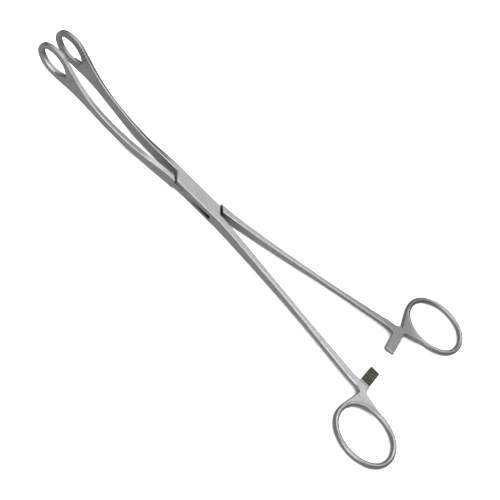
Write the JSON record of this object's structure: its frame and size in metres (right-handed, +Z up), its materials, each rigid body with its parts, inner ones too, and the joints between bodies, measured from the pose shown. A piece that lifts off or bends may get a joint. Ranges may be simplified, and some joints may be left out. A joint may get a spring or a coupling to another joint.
{
  "type": "piercing forceps",
  "caption": "Ring-handled steel forceps with a box lock, ratchet arms and slim curved jaws that end in open, serrated oval loops.",
  "frame": {"origin": "on the rivet's axis, at the flat underside of the box lock", "axes": "+X along the forceps towards the jaws, +Y towards the box half's handle, +Z up along the rivet, the way the jaws curve"},
  "size_m": [0.239, 0.107, 0.0214],
  "materials": {
    "box_half_steel": "satin",
    "through_half_steel": "satin",
    "rivet_steel": "satin"
  },
  "bodies": {
    "box_half": {"box_half": "box_half_steel", "pivot_rivet": "rivet_steel"},
    "through_half": {"through_half": "through_half_steel"}
  },
  "joints": [
    {"name": "lock", "type": "hinge", "parent": "box_half", "child": "through_half", "pos_m": [0, 0, 0.0028], "axis": [0, 0, 1], "range_deg": [-6.4, 38]}
  ]
}
